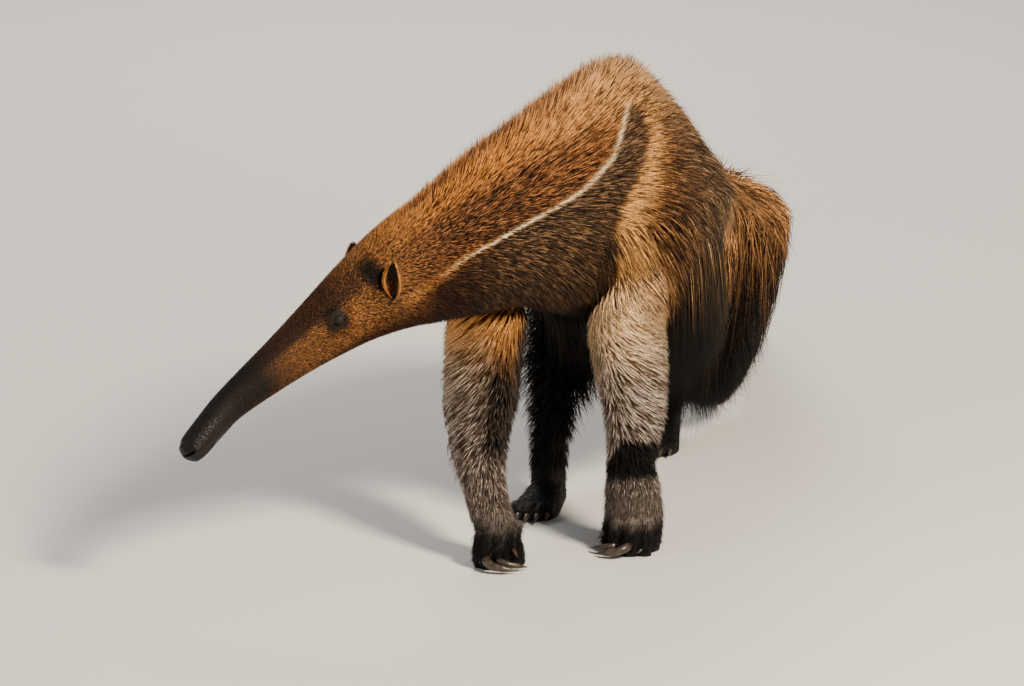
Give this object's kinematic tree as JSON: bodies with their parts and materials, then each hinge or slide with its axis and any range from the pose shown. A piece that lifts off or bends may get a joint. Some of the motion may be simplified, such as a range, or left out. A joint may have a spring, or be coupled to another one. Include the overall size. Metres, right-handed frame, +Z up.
{
  "type": "giant anteater",
  "caption": "Life-size still model of a walking giant anteater, head turned aside and lowered, with long coarse coat and bushy tail.",
  "frame": {"origin": "on the floor, under the middle of the animal's bounding box", "axes": "+Z up, +Y towards the tail (the animal walks towards -Y), +X towards the animal's left"},
  "size_m": [0.5548, 1.8192, 0.64],
  "materials": {
    "snout_skin": "short dark hair over skin, slightly glossy towards the nose",
    "head_fur": "short golden-brown fur",
    "ear_skin": "thin skin with short tan fur on the rim",
    "eye": "wet, dark brown",
    "neck_fur": "coarse grizzled brown fur",
    "body_coat": "long coarse grizzled coat with a black band edged in cream",
    "tail_coat": "very long coarse brown hair",
    "pale_leg_fur": "coarse cream-grey hair, black at the wrist",
    "dark_leg_fur": "coarse black-brown hair",
    "claw": "dark horn"
  },
  "bodies": {
    "root": {"eye_left": "eye", "ear_left": "ear_skin", "eye_right": "eye", "ear_right": "ear_skin", "claw_forefoot_left_2": "claw", "claw_forefoot_left_3": "claw", "claw_forefoot_left_4": "claw", "claw_forefoot_left_5": "claw", "claw_forefoot_right_2": "claw", "claw_forefoot_right_3": "claw", "claw_forefoot_right_4": "claw", "claw_forefoot_right_5": "claw", "claw_hindfoot_left_1": "claw", "claw_hindfoot_left_2": "claw", "claw_hindfoot_left_3": "claw", "claw_hindfoot_left_4": "claw", "claw_hindfoot_left_5": "claw", "claw_hindfoot_right_1": "claw", "claw_hindfoot_right_2": "claw", "claw_hindfoot_right_3": "claw", "claw_hindfoot_right_4": "claw", "claw_hindfoot_right_5": "claw", "forefoot_left": "dark_leg_fur", "foreleg_left_lower": "pale_leg_fur", "foreleg_left_upper": "pale_leg_fur", "forefoot_right": "dark_leg_fur", "foreleg_right_lower": "pale_leg_fur", "foreleg_right_upper": "pale_leg_fur", "hindfoot_left": "dark_leg_fur", "hindleg_left_lower": "dark_leg_fur", "hindleg_left_upper": "dark_leg_fur", "hindfoot_right": "dark_leg_fur", "hindleg_right_lower": "dark_leg_fur", "hindleg_right_upper": "dark_leg_fur", "snout": "snout_skin", "head": "head_fur", "neck": "neck_fur", "torso_front": "body_coat", "torso_rear": "body_coat", "tail_base": "tail_coat", "tail_middle": "tail_coat", "tail_tip": "tail_coat"}
  },
  "joints": []
}
